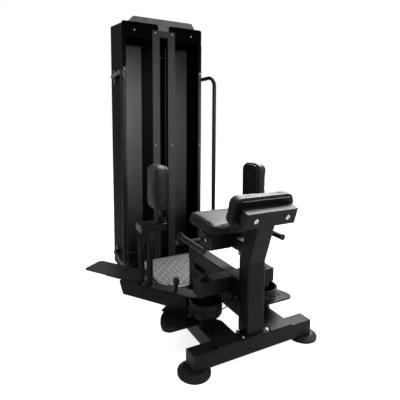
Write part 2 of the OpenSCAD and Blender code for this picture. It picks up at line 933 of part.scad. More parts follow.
module weight_pin() {
    pin_z = lift_z + plate_t / 2;
    knob_y = stack_y - plate_d / 2 - 6;
    color(bolt_silver) on_floor() translate([0, knob_y, pin_z]) rotate([90, 0, 0]) {
        translate([0, 0, -plate_d / 2 - 12]) cylinder(d = pin_d, h = plate_d / 2 + 14);
        cylinder(d = 16, h = 8);
        translate([0, 0, 8]) cylinder(d = 26, h = 22);
    }
}

module guide_rods() {
    color(bolt_silver) on_floor() both_sides()
        translate([guide_x, stack_y, column_foot]) cylinder(d = guide_d, h = guide_top - column_foot);
}

module stack_bumpers() {
    color(rubber_black) on_floor() both_sides() translate([guide_x, stack_y, column_foot]) difference() {
        cylinder(d = 44, h = stack_z - column_foot);
        translate([0, 0, -1]) cylinder(d = guide_d + 0.6, h = bumper_h + 2);
    }
}

// Fasteners

module frame_bolts() {
    color(bolt_silver) {
        on_floor() both_sides() {
            for (y = [18, 66]) translate([post_plate_half - 10, y, base_plate_top]) bolt_head(13, 7);
        }
        leaning() both_sides() translate([92, -lumbar_back, lumbar_from + lumbar_h / 2])
            rotate([90, 0, 0]) button_head(24, 8);
        on_floor() both_sides() translate([seat_box_w / 2, seat_box_y + 60, branch_z + 40])
            rotate([0, 90, 0]) button_head(16, 5);
    }
}

screw_row = 1004;

module panel_screws() {
    color(bolt_silver) on_floor() both_sides() {
        translate([tower_half - 94, tower_y + sheet_t, tower_h - 58]) rotate([90, 0, 0]) button_head(12, 3);
        for (z = [screw_row, strip_top - 18])
            translate([tower_half - 14, tower_y - strip_t, z]) rotate([90, 0, 0]) button_head(12, 3);
        for (z = [screw_row, notch_z - 18])
            translate([69, tower_y, z]) rotate([90, 0, 0]) button_head(12, 3);
        for (z = [guard_low, guard_top], s = [-1, 1])
            translate([tower_half + guard_plate_t, guard_back, z + s * (guard_plate_h / 2 - 16)])
                rotate([0, 90, 0]) button_head(12, 3);
    }
}

// Cables and pulleys. The left drum is at -X and both cables mirror each other.

drum_groove_r = drum_r + cable_d / 2 + touch_gap;
guide_c = [cable_x + guide_r, post_front + guide_r + 10];
leg_upper_c = [front_leg_y + tube_wall + leg_r + 8, gap_z - leg_r];
leg_line_y = leg_upper_c[0] + leg_r;
run_z = floor_top - 56;
leg_lower_c = [leg_line_y + leg_r, run_z + leg_r];
tower_line_y = stack_y + 2 * tower_pulley_r;
tower_lower_c = [tower_line_y - tower_lower_r, run_z + tower_lower_r];
tower_upper_c = [stack_y + tower_pulley_r, guide_top - 90];
pulley_bore = 12;
pulley_w = 14;
guide_pulley_w = upper_beam_z - lower_beam_top - 3;
guide_flange_t = 2.5;
axle_d = pulley_bore - 0.1;

// Where the cable leaves the drum and meets the guide pulley: their common tangent at the rear
drum_c = [pivot_x, pivot_y];
guide_v = guide_c - drum_c;
tangent_dist = norm(guide_v);
tangent_turn = acos((drum_groove_r - guide_r) / tangent_dist);
tangent_angle = atan2(guide_v[1], guide_v[0]) + tangent_turn;
wrap_sweep = 200;
drum_leave = drum_c + drum_groove_r * [cos(tangent_angle), sin(tangent_angle)];
guide_meet = guide_c + guide_r * [cos(tangent_angle), sin(tangent_angle)];

module cable_arc_z(c, r, z, from, sweep) {
    translate([c[0], c[1], z]) rotate([0, 0, from]) rotate_extrude(angle = sweep)
        translate([r, 0]) circle(d = cable_d, $fn = 24);
}

// An arc in the plane x = 0, from the angle `from` over `sweep`, both from +Y towards +Z
module cable_arc_x(c, r, from, sweep) {
    translate([0, c[0], c[1]]) rotate([from, 0, 0]) rotate([90, 0, 90]) rotate_extrude(angle = sweep)
        translate([r, 0]) circle(d = cable_d, $fn = 24);
}

module cable_line(p, q) {
    rod_between(p, q, cable_d);
}

// A slightly thicker spot where the rising run meets a level one
module cable_bend(p) {
    translate(p) sphere(d = cable_d + touch_gap);
}

module cable_route() {
    leave = [drum_leave[0], drum_leave[1], cable_z];
    meet = [guide_meet[0], guide_meet[1], gap_z];
    cable_arc_z(drum_c, drum_groove_r, cable_z, tangent_angle, wrap_sweep);
    cable_bend(leave);
    cable_line(leave, meet);
    cable_bend(meet);
    cable_arc_z(guide_c, guide_r, gap_z, -180, tangent_angle + 180);
    translate([cable_x, 0, 0]) {
        cable_line([0, guide_c[1], gap_z], [0, leg_upper_c[0], gap_z]);
        cable_arc_x(leg_upper_c, leg_r, 0, 90);
        cable_line([0, leg_line_y, leg_upper_c[1]], [0, leg_line_y, leg_lower_c[1]]);
        cable_arc_x(leg_lower_c, leg_r, 180, 90);
        cable_line([0, leg_lower_c[0], run_z], [0, tower_lower_c[0], run_z]);
        cable_arc_x(tower_lower_c, tower_lower_r, -90, 90);
        cable_line([0, tower_line_y, tower_lower_c[1]], [0, tower_line_y, tower_upper_c[1]]);
        cable_arc_x(tower_upper_c, tower_pulley_r, 0, 180);
    }
}

module cables() {
    color(rubber_black) on_floor() both_sides() cable_route();
}

drop_low = head_z + head_h + 26;

module cable_drops() {
    color(rubber_black) on_floor() both_sides()
        translate([cable_x, stack_y, drop_low]) cylinder(d = cable_d, h = tower_upper_c[1] - drop_low);
}

// A wide barrel between thin flanges, because the cable comes up to it from the drum
module spool(r, w, bore) {
    barrel = r - cable_d / 2 - touch_gap;
    rim = r + 4;
    rotate_extrude() polygon([
        [bore / 2, -w / 2],
        [rim, -w / 2],
        [rim, guide_flange_t - w / 2],
        [barrel, guide_flange_t - w / 2],
        [barrel, w / 2 - guide_flange_t],
        [rim, w / 2 - guide_flange_t],
        [rim, w / 2],
        [bore / 2, w / 2]
    ]);
}

module guide_pulley(side) {
    color(bolt_silver) on_floor() on_side(side)
        translate([guide_c[0], guide_c[1], gap_z]) spool(guide_r, guide_pulley_w, pulley_bore);
}

module guide_pulley_left() {
    guide_pulley(-1);
}

module guide_pulley_right() {
    guide_pulley(1);
}

module pulley_pair(c, r) {
    on_floor() both_sides() translate([cable_x, c[0], c[1]]) rotate([0, 90, 0])
        pulley(r, pulley_w, pulley_bore);
}

module leg_pulleys_upper() {
    color(rubber_black) pulley_pair(leg_upper_c, leg_r);
}

module leg_pulleys_lower() {
    color(rubber_black) pulley_pair(leg_lower_c, leg_r);
}

module tower_pulleys_lower() {
    color(rubber_black) pulley_pair(tower_lower_c, tower_lower_r);
}

module tower_pulleys_upper() {
    color(rubber_black) pulley_pair(tower_upper_c, tower_pulley_r);
}

module cross_axle(c, half) {
    translate([-half, c[0], c[1]]) rotate([0, 90, 0]) cylinder(d = axle_d, h = 2 * half);
}

module pulley_axles() {
    color(bolt_silver) on_floor() {
        both_sides() translate([guide_c[0], guide_c[1], lower_beam_top])
            cylinder(d = axle_d, h = upper_beam_z - lower_beam_top);
        cross_axle(leg_upper_c, tube_w / 2 + 1 - tube_wall);
        cross_axle(leg_lower_c, crossbar_half);
        cross_axle(tower_lower_c, column_half - sheet_t);
        cross_axle(tower_upper_c, column_half - sheet_t);
    }
}

// Drums and selector plates turn on the pivot shafts

sector_corner_r = 40;
sector_rear = 14;

// The plate's rear edge runs square to the seat, just behind the pivot, and its corner is round
module sector_outline() {
    inner = -(holes_in + 1.2) * hole_step;
    hub = bearing_d / 2 - 4;
    corner_turn = asin((sector_corner_r - sector_rear) / (sector_r - sector_corner_r));
    corner_a = 90 - arm_open - corner_turn;
    corner_c = (sector_r - sector_corner_r) * [sin(corner_a), cos(corner_a)];
    edge_a = 180 - arm_open;
    polygon(concat(
        [[-hub, hub * 0.4], [-hub * 0.8, -hub * 0.6]],
        [sector_rear * [sin(edge_a), cos(edge_a)]],
        [for (a = [edge_a:-7:corner_a]) corner_c + sector_corner_r * [sin(a), cos(a)]],
        [for (k = [0:16]) let (a = corner_a + (inner - corner_a) * k / 16) sector_r * [sin(a), cos(a)]]
    ));
    circle(hub);
}

module selector_plate() {
    difference() {
        linear_extrude(sector_t) sector_outline();
        for (i = [-holes_in:holes_out]) rotate([0, 0, -i * hole_step])
            translate([0, hole_circle_r, -1]) cylinder(d = hole_d, h = sector_t + 2);
        translate([0, 0, -1]) cylinder(d = shaft_d, h = sector_t + 2);
    }
}

// The cup has a rounded bottom, and the cable lies round its wall
module drum_cup() {
    round_r = 22;
    floor_t = 8;
    rotate_extrude($fn = 96) difference() {
        union() {
            translate([shaft_d / 2, 0]) square([drum_r - shaft_d / 2 - round_r, floor_t]);
            translate([drum_r - round_r, round_r]) intersection() {
                circle(round_r);
                translate([-1, -round_r]) square([round_r + 1, round_r]);
            }
            translate([drum_r - round_r - 1, round_r - 1]) square([round_r + 1, drum_h - round_r + 1]);
        }
        translate([drum_r - round_r, round_r]) circle(round_r - drum_wall);
        translate([drum_r - round_r - 2, round_r]) square([round_r - drum_wall + 2, drum_h]);
    }
}

module pivot_shaft() {
    low = base_plate_top + touch_gap;
    translate([0, 0, low]) cylinder(d = shaft_d, h = shaft_top - low);
    translate([0, 0, shaft_top]) cylinder(d = 27, h = 12, $fn = 6);
}

module drum(side) {
    color(steel_black) along_arm(side) {
        pivot_shaft();
        translate([0, 0, sector_z]) selector_plate();
        translate([0, 0, drum_z]) drum_cup();
    }
}

module drum_left() {
    drum(-1);
}

module drum_right() {
    drum(1);
}

// Leg arms

arm_slant = 28;
weld_sink = 1.5;

module arm_lug(z) {
    bore = shaft_d + 2 * shaft_gap;
    translate([0, 0, z]) linear_extrude(lug_t) difference() {
        union() {
            circle(d = lug_d);
            translate([-lug_d / 2 + 4, 0]) square([lug_d - 8, arm_start + 150]);
        }
        circle(d = bore);
    }
}

module arm_beam() {
    difference() {
        translate([0, arm_start, arm_z + arm_h / 2])
            tube_y(arm_reach + arm_slant - arm_start, arm_w, arm_h);
        translate([0, arm_reach, arm_z]) rotate([-atan(arm_slant / arm_h), 0, 0])
            translate([-big / 2, 0, -big / 2]) cube([big, big, big]);
        translate([0, hole_circle_r, arm_z - 1]) cylinder(d = pull_pin_d + 3, h = arm_h + 2);
    }
}

pull_pin_d = 16;
bracket_h = 92;
bracket_to = hole_circle_r + 42;

module arm(side) {
    color(steel_black) along_arm(side) {
        arm_beam();
        difference() {
            arm_lug(upper_lug_z);
            translate([0, hole_circle_r, upper_lug_z - 1]) cylinder(d = pull_pin_d + 3, h = lug_t + 2);
        }
        difference() {
            union() {
                arm_lug(lower_lug_z);
                translate([-arm_w / 2 + 4, arm_start + 4, lower_lug_z])
                    cube([arm_w - 8, bracket_to - arm_start - 4, arm_z - lower_lug_z + weld_sink]);
            }
            translate([0, hole_circle_r, lower_lug_z - 1]) cylinder(d = pull_pin_d + 0.6, h = 60);
        }
        arm_uprights();
        pad_tube();
        translate([arm_w / 2 - 13, upright_r - upright_w - upright_gap / 2 - 16, arm_top - weld_sink])
            button_head(20, 8 + weld_sink);
        translate([arm_w / 2, arm_start + 30, arm_z + arm_h / 2 + 6]) rotate([0, 90, 0]) button_head(16, 6);
    }
}

module arm_left() {
    arm(-1);
}

module arm_right() {
    arm(1);
}

// Two square tubes with a tapered bracket across their tops
module arm_uprights() {
    low = arm_top - weld_sink;
    half = upright_w + upright_gap / 2;
    for (s = [-1, 1]) translate([0, upright_r + s * (upright_w + upright_gap) / 2, low])
        tube_z(pad_tube_z - 2 - low, upright_w, upright_w);
    translate([-upright_w / 2 - 2, upright_r, pad_tube_z]) rotate([90, 0, 90])
        linear_extrude(upright_w + 4)
            polygon([
                [-half - 2, weld_sink],
                [-half - 2, -50],
                [half + 2, -bracket_h],
                [half + 2, weld_sink]
            ]);
}

pad_tube_c = [-18, 342];

// The pad tube lies square to the seat when the arms are at rest
module at_pad_tube() {
    translate([pad_tube_c[0], pad_tube_c[1], pad_tube_z]) rotate([0, 0, arm_open]) children();
}

module pad_tube() {
    at_pad_tube() translate([-pad_tube_l / 2, 0, pad_tube_h / 2]) tube_x(pad_tube_l, pad_tube_w, pad_tube_h);
}

slant_angle = atan(arm_slant / arm_h);
slant_len = norm([arm_slant, arm_h]);

// The plate that closes the beam's slanted end, and the caps of the pad tube
module arm_caps(side) {
    color(steel_black) along_arm(side) {
        translate([0, arm_reach, arm_z]) rotate([-slant_angle, 0, 0]) translate([0, 0, slant_len / 2])
            rotate([-90, 0, 0]) linear_extrude(3) rounded_square(arm_w, slant_len - 1, tube_r);
        at_pad_tube() both_sides() translate([pad_tube_l / 2, 0, pad_tube_h / 2])
            tube_cap(pad_tube_w, pad_tube_h);
    }
}

module arm_caps_left() {
    arm_caps(-1);
}

module arm_caps_right() {
    arm_caps(1);
}

foot_in = 140;
foot_lap = 76;
foot_r = 25;

module foot_plate(side) {
    color(steel_black) along_arm(side) {
        translate([foot_w / 2 - foot_in, arm_reach + (foot_reach - foot_lap) / 2, arm_top])
            plate(foot_w, foot_reach + foot_lap, foot_t, foot_r);
        translate([-foot_in + 24, arm_reach + arm_slant + 6, arm_top - 12])
            cube([foot_w - 40, 126, 12]);
    }
}

module foot_plate_left() {
    foot_plate(-1);
}

module foot_plate_right() {
    foot_plate(1);
}

// At rest the pull pin is raised, just clear of the selector plate
pin_low = sector_top + running_gap + 0.5;
knob_low = upper_lug_top + 22;

module pull_pin(side) {
    color(rubber_black) along_arm(side) translate([0, hole_circle_r, 0]) {
        translate([0, 0, pin_low]) cylinder(d = pull_pin_d, h = knob_low - pin_low);
        translate([0, 0, knob_low]) cylinder(d1 = 20, d2 = 34, h = 14);
        translate([0, 0, knob_low + 14]) cylinder(d = 34, h = 22);
        translate([0, 0, knob_low + 36]) cylinder(d1 = 34, d2 = 22, h = 10);
    }
}

module pull_pin_left() {
    pull_pin(-1);
}

module pull_pin_right() {
    pull_pin(1);
}

// Knee pads stand on spindles near the pad tubes' inner ends
spindle_c = [-63.8, 298.9];
pad_plate_t = 6;
pad_plate_w = 70;
pad_back = 1 - spindle_d / 2;
pad_bolts = 90;
bracket_t = 10;

module at_spindle(side) {
    along_arm(side) translate([spindle_c[0], spindle_c[1], 0]) rotate([0, 0, arm_open]) children();
}

function pad_low(side) = pad_z - (side > 0 ? right_pad_drop : 0);

module knee_pad(side) {
    color(vinyl_black) at_spindle(side)
        translate([pad_back + board_t + touch_gap, 0, pad_low(side) + pad_h / 2])
            rotate([0, 90, 0]) cushion(pad_h, pad_w, pad_t, 44, 6, 2.5);
}

module knee_pad_left() {
    knee_pad(-1);
}

module knee_pad_right() {
    knee_pad(1);
}

// A collar and a pointed bracket on the pad tube, the spindle, and a steel plate with the pad's board
module pad_frame(side) {
    spindle_z = pad_tube_z + pad_tube_h + touch_gap;
    low = pad_low(side);
    plate_low = spindle_z + 30;
    plate_high = low + pad_h - 36;
    color(steel_black) at_spindle(side) {
        translate([0, 0, spindle_z]) cylinder(d = spindle_d * 1.9, h = 12);
        translate([0, 0, spindle_z + 12]) cylinder(d = spindle_d, h = low - 22 - spindle_z);
        translate([0, bracket_t / 2, spindle_z]) rotate([90, 0, 0]) linear_extrude(bracket_t)
            polygon([[-12, 1], [12, 1], [36, 22], [0, 52], [-36, 27]]);
        translate([pad_back - pad_plate_t, 0, (plate_low + plate_high) / 2])
            rotate([0, 90, 0]) plate(plate_high - plate_low, pad_plate_w, pad_plate_t, 10);
        translate([pad_back, 0, low + pad_h / 2])
            rotate([0, 90, 0]) plate(pad_h - 16, pad_w - 16, board_t, 38);
        for (s = [-1, 1]) translate([pad_back - pad_plate_t, 0, low + pad_h / 2 + s * pad_bolts / 2])
            rotate([0, -90, 0]) button_head(20, 6);
    }
}

module pad_frame_left() {
    pad_frame(-1);
}

module pad_frame_right() {
    pad_frame(1);
}

rear_foot_bar();
rubber_feet();
tube_caps();
floor_rails();
front_crossbar();
base_plates();
front_leg();
lower_beam();
upper_beam();
pivot_crossbeams();
pivot_bearings();
seat_post();
leaning_post();
seat_branch();
seat_box();
seat_cushion();
lumbar_box();
back_cushion();
cushion_boards();
handle_bar();
hand_grips();
tread_plate();
tower_base();
tower_side_panels();
tower_back_panel();
tower_columns();
tower_headers();
tower_top_cap();
side_guard_rails();
guide_rods();
stack_bumpers();
weight_plates();
lifted_plates();
selector_stem();
weight_pin();
frame_bolts();
panel_screws();
pulley_axles();
guide_pulley_left();
guide_pulley_right();
leg_pulleys_upper();
leg_pulleys_lower();
tower_pulleys_lower();
tower_pulleys_upper();
cables();
cable_drops();
drum_left();
drum_right();
arm_left();
arm_right();
arm_caps_left();
arm_caps_right();
foot_plate_left();
foot_plate_right();
pull_pin_left();
pull_pin_right();
knee_pad_left();
knee_pad_right();
pad_frame_left();
pad_frame_right();
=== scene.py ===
import math
import json
import bpy
import bmesh
from mathutils import Vector, Matrix


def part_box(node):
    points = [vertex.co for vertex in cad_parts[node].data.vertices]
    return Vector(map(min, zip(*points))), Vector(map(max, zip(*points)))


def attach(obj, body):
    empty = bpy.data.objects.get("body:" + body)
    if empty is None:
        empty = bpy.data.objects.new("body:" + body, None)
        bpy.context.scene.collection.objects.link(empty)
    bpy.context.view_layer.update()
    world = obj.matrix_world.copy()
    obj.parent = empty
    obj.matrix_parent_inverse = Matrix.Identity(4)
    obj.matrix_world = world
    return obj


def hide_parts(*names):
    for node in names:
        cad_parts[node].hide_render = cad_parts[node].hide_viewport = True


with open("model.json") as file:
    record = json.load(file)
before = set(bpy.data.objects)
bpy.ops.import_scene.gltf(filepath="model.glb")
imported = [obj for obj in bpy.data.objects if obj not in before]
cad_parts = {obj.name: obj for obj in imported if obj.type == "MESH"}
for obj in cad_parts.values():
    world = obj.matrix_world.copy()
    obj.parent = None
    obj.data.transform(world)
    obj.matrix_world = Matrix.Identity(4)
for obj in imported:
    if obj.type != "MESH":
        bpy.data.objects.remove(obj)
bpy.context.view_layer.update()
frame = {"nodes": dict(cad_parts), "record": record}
NODES = frame["nodes"]

# Sizes are in metres. Those that place a piece repeat the model's source, whose Y starts at the
# back of the rear bar.
Y_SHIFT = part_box("rear_foot_bar")[0].y
# Leaning post: Y of its back at the bend, the bend's height, and the lean
POST_Y, LEAN_Z, LEAN = 0.015, 0.480, math.radians(18)
# Front of the lumbar box, and the lower edge of the back cushion, measured along the leaning post
LUMBAR_FRONT, BACK_FROM = 0.036, 0.186
# Back edge of the seat box, the height of its top there, and the seat's tilt
SEAT_BOX_Y, SEAT_BOX_TOP, SEAT_TILT = 0.186, 0.580, math.radians(3.8)
# Arms: pivot, angle at rest, and the knee pad's spindle as seen from the pivot
PIVOT = (0.183, 0.202)
ARM_OPEN = math.radians(36.6)
SPINDLE = (-0.0638, 0.2989)
# Boards behind the cushions, and the gap between board and cushion
BOARD_T, GAP = 0.012, 0.0003
# Knee pads: lower edge, height, how much lower the right one is set, and the board's back
# measured from the spindle's axis
PAD_Z, PAD_H, RIGHT_PAD_DROP = 0.686, 0.250, 0.020
PAD_BACK = -0.0115

# Cushions: width, length and thickness, corner radius, crown, edge radius, and most swelling
SEAT_PAD = ((0.330, 0.278, 0.048), 0.032, 0.005, 0.016, 0.006)
BACK_PAD = ((0.348, 0.158, 0.059), 0.042, 0.007, 0.018, 0.006)
KNEE_PAD = ((0.248, 0.160, 0.060), 0.042, 0.006, 0.018, 0.005)
# Middle of the seat cushion from the seat box's back, and of the back cushion from its lower edge
SEAT_MIDDLE, BACK_MIDDLE = 0.118, 0.080
# Welt: thickness, height of its middle above the cushion's back, and inset from the outline
WELT_D, WELT_Z, WELT_INSET = 0.006, 0.004, 0.001

# Cloth simulation of a cushion's cover
VOXEL, PRESSURE, LAST_FRAME = 0.0055, 4.0, 14
# The cover is held at its back: it may swell above the first height, and freely this much higher
HOLD_FROM, HOLD_OVER = 0.004, 0.02
# No swollen point sinks below this height, or below its start, so the cover stays off its board
BACK_CLEAR = 0.0005

# Rubber ribs on the hand grips
GRIP_R, GRIP_END_R = 0.015, 0.017
GRIP_RIBS, GRIP_RIB_FROM, GRIP_RIB_STEP = 24, 0.020, 0.009

# Raised pattern of the tread plate: lozenges at right angles to their neighbours
LOZENGE_PITCH, LOZENGE_L, LOZENGE_W, LOZENGE_H = 0.037, 0.039, 0.0116, 0.0026
TREAD_MARGIN = 0.014
# How deep the lozenges' bases lie in the plate
LOZENGE_SINK = 0.0002

# Camera, fitted to the photograph
CAMERA_AT = (-1.060, -1.306, 1.150)
CAMERA_DOWN, CAMERA_TURN = 5.2, -25.8
CAMERA_LENS, CAMERA_SHIFT = 31.14, (0.05, -0.105)

# Half the floor's side, and how much it glows for the rays that should see white
FLOOR_HALF, FLOOR_GLOW = 14.0, 0.82
# What the white world gives to the rays that light the object
WORLD_LIGHT = 0.24
# Lamps: place, size, watts, and what they point at. The sheen lamp adds highlights only.
LAMPS = {
    "over": ((0.2, -0.4, 4.8), (2.6, 2.6), 80, (0, -0.2, 0.6)),
    "right": ((3.4, -3.4, 2.6), (3.0, 2.4), 150, (0, -0.2, 0.7)),
    "behind": ((2.4, 1.3, 4.0), (2.4, 1.8), 60, (0, -0.6, 0.6)),
    "sheen": ((2.4, 1.3, 4.0), (2.8, 1.8), 1650, (0, -0.6, 0.6)),
}
# The spot that lights the tower's bays
SPOT_AT, SPOT_AIM, SPOT_WATTS = (-0.30, -3.1, 1.75), (0.0, 0.55, 1.12), 980
SPOT_ANGLE, SPOT_RADIUS = 25, 0.25


def link(obj):
    bpy.context.scene.collection.objects.link(obj)
    return obj


def mesh_object(name, bm, smooth=True):
    """Turns a bmesh into an object of the scene, with its faces turned outward."""
    mesh = bpy.data.meshes.new(name)
    bmesh.ops.recalc_face_normals(bm, faces=bm.faces)
    bm.to_mesh(mesh)
    bm.free()
    for p in mesh.polygons:
        p.use_smooth = smooth
    return link(bpy.data.objects.new(name, mesh))


def aim(obj, at, target):
    obj.location = at
    obj.rotation_euler = (Vector(target) - Vector(at)).to_track_quat("-Z", "Y").to_euler()


# Materials


class Recipe:
    """A Principled material whose colour, roughness and bump come from noise in object space."""

    def __init__(self, name, rough, metallic=0.0):
        self.mat = bpy.data.materials.new(name)
        self.mat.use_nodes = True
        self.tree = self.mat.node_tree
        self.bsdf = self.tree.nodes["Principled BSDF"]
        self.coords = self.node("TexCoord").outputs["Object"]
        self.rough = rough
        self.normal = None
        self.put(Roughness=rough, Metallic=metallic)

    def node(self, kind):
        return self.tree.nodes.new("ShaderNode" + kind)

    def join(self, output, socket):
        self.tree.links.new(output, socket)

    def put(self, **values):
        """Sets inputs of the shader, where a name's underscores stand for spaces."""
        for key, value in values.items():
            self.bsdf.inputs[key.replace("_", " ")].default_value = value
        return self

    def noise(self, scale, detail=2.0, stretch=None):
        node = self.node("TexNoise")
        node.inputs["Scale"].default_value = scale
        node.inputs["Detail"].default_value = detail
        source = self.coords
        if stretch:
            mapping = self.node("Mapping")
            mapping.inputs["Scale"].default_value = stretch
            self.join(source, mapping.inputs["Vector"])
            source = mapping.outputs["Vector"]
        self.join(source, node.inputs["Vector"])
        return node.outputs["Fac"]

    def cells(self, scale):
        node = self.node("TexVoronoi")
        node.feature = "DISTANCE_TO_EDGE"
        node.inputs["Scale"].default_value = scale
        self.join(self.coords, node.inputs["Vector"])
        return node.outputs["Distance"]

    def ramp(self, source, low, high, start=0.35, end=0.65):
        node = self.node("ValToRGB")
        for element, position, colour in zip(node.color_ramp.elements, (start, end), (low, high)):
            element.position = position
            element.color = (*colour, 1)
        self.join(source, node.inputs["Fac"])
        return node.outputs["Color"]

    def calc(self, operation, *sources):
        node = self.node("Math")
        node.operation = operation
        for i, source in enumerate(sources):
            self.join(source, node.inputs[i])
        return node.outputs["Value"]

    def colour(self, base, scale, spread=0.2, stretch=None):
        """A base colour that varies up and down by a share of itself."""
        low = [c * (1 - spread) for c in base]
        high = [c * (1 + spread) for c in base]
        mottled = self.ramp(self.noise(scale, 4.0, stretch), low, high)
        self.join(mottled, self.bsdf.inputs["Base Color"])
        return self

    def gloss(self, scale, spread, stretch=None):
        """A roughness that varies a little over the surface."""
        node = self.node("MapRange")
        node.inputs["From Min"].default_value = 0.3
        node.inputs["From Max"].default_value = 0.7
        node.inputs["To Min"].default_value = self.rough - spread
        node.inputs["To Max"].default_value = self.rough + spread
        self.join(self.noise(scale, 3.0, stretch), node.inputs["Value"])
        self.join(node.outputs["Result"], self.bsdf.inputs["Roughness"])
        return self

    def edges(self, radius, wear_and_highlight):
        """Rounds the shading of sharp edges, and paints the colour lighter along them, partly as
        rubbed wear and partly as a painted highlight.
        """
        bevel = self.node("Bevel")
        bevel.samples = 6
        bevel.inputs["Radius"].default_value = radius
        self.normal = bevel.outputs["Normal"]
        dot = self.node("VectorMath")
        dot.operation = "DOT_PRODUCT"
        self.join(self.normal, dot.inputs[0])
        self.join(self.node("NewGeometry").outputs["Normal"], dot.inputs[1])
        amount = self.node("MapRange")
        amount.inputs["From Min"].default_value = 0.995
        amount.inputs["From Max"].default_value = 0.80
        amount.inputs["To Max"].default_value = 0.7
        self.join(dot.outputs["Value"], amount.inputs["Value"])
        # Lighter colour along the edges: partly rubbed wear, partly a painted highlight
        patchy = self.calc("MULTIPLY", amount.outputs["Result"], self.noise(55.0, 5.0))
        # The mix node's colour sockets are inputs 6 and 7 and output 2
        mix = self.node("Mix")
        mix.data_type = "RGBA"
        mix.inputs[7].default_value = (*wear_and_highlight, 1)
        self.join(patchy, mix.inputs[0])
        self.join(self.bsdf.inputs["Base Color"].links[0].from_socket, mix.inputs[6])
        self.join(mix.outputs[2], self.bsdf.inputs["Base Color"])
        return self

    def by_facing(self, front, other):
        """One colour on faces that look forward or back, another on the rest."""
        split = self.node("SeparateXYZ")
        self.join(self.node("NewGeometry").outputs["Normal"], split.inputs[0])
        size = self.calc("ABSOLUTE", split.outputs["Y"])
        self.join(self.ramp(size, other, front, 0.6, 0.7), self.bsdf.inputs["Base Color"])
        return self

    def bump(self, source, strength, distance):
        node = self.node("Bump")
        node.inputs["Strength"].default_value = strength
        node.inputs["Distance"].default_value = distance
        self.join(source, node.inputs["Height"])
        if self.normal:
            self.join(self.normal, node.inputs["Normal"])
        self.join(node.outputs["Normal"], self.bsdf.inputs["Normal"])
        return self


def powder(name, base, rough, level, grain=0.05, spread=0.03, wear_and_highlight=0.035):
    """Powder coat: a fine orange peel and slightly uneven gloss; thick parts have edges painted
    lighter, partly rubbed wear and partly a painted highlight.
    """
    recipe = Recipe(name, rough).put(Specular_IOR_Level=level)
    recipe.colour(base, 9.0, 0.10).gloss(22.0, spread)
    if wear_and_highlight:
        # Edges painted lighter: partly rubbed wear, partly a painted highlight
        recipe.edges(0.0014, (wear_and_highlight, wear_and_highlight, wear_and_highlight * 1.02))
    return recipe.bump(recipe.noise(1500.0, 2.0), grain, 0.0002).mat


def two_faced(name, front, other, rough, level):
    """Powder coat that is light on the faces that look forward, dark on the walls behind them."""
    recipe = Recipe(name, rough).put(Specular_IOR_Level=level)
    recipe.by_facing(front, other).gloss(22.0, 0.03)
    return recipe.bump(recipe.noise(1500.0, 2.0), 0.05, 0.0002).mat


def leather(name, base, rough, level):
    """Vinyl with a fine pebbled grain."""
    recipe = Recipe(name, rough)
    recipe.put(Specular_IOR_Level=level, Sheen_Weight=0.03, Sheen_Roughness=0.4)
    recipe.colour(base, 18.0, 0.14).gloss(50.0, 0.04)
    return recipe.bump(recipe.cells(480.0), 0.30, 0.0006).mat


def moulded(name, base, rough, grain=700.0, strength=0.12, level=0.3):
    """Moulded plastic or rubber, with a fine or coarse grain."""
    recipe = Recipe(name, rough).put(Specular_IOR_Level=level)
    recipe.colour(base, 30.0, 0.15).gloss(80.0, 0.04)
    return recipe.bump(recipe.noise(grain, 3.0), strength, 0.0003).mat


def metal(name, base, rough, stretch=(1, 1, 1), scale=120.0, part=1.0, level=0.5):
    """Bare or dulled metal, whose marks may be stretched along the piece."""
    recipe = Recipe(name, rough, part).put(Specular_IOR_Level=level)
    recipe.colour(base, scale, 0.1, stretch).gloss(scale * 1.5, 0.06, stretch)
    return recipe.bump(recipe.noise(scale * 4, 2.0, stretch), 0.06, 0.0003).mat


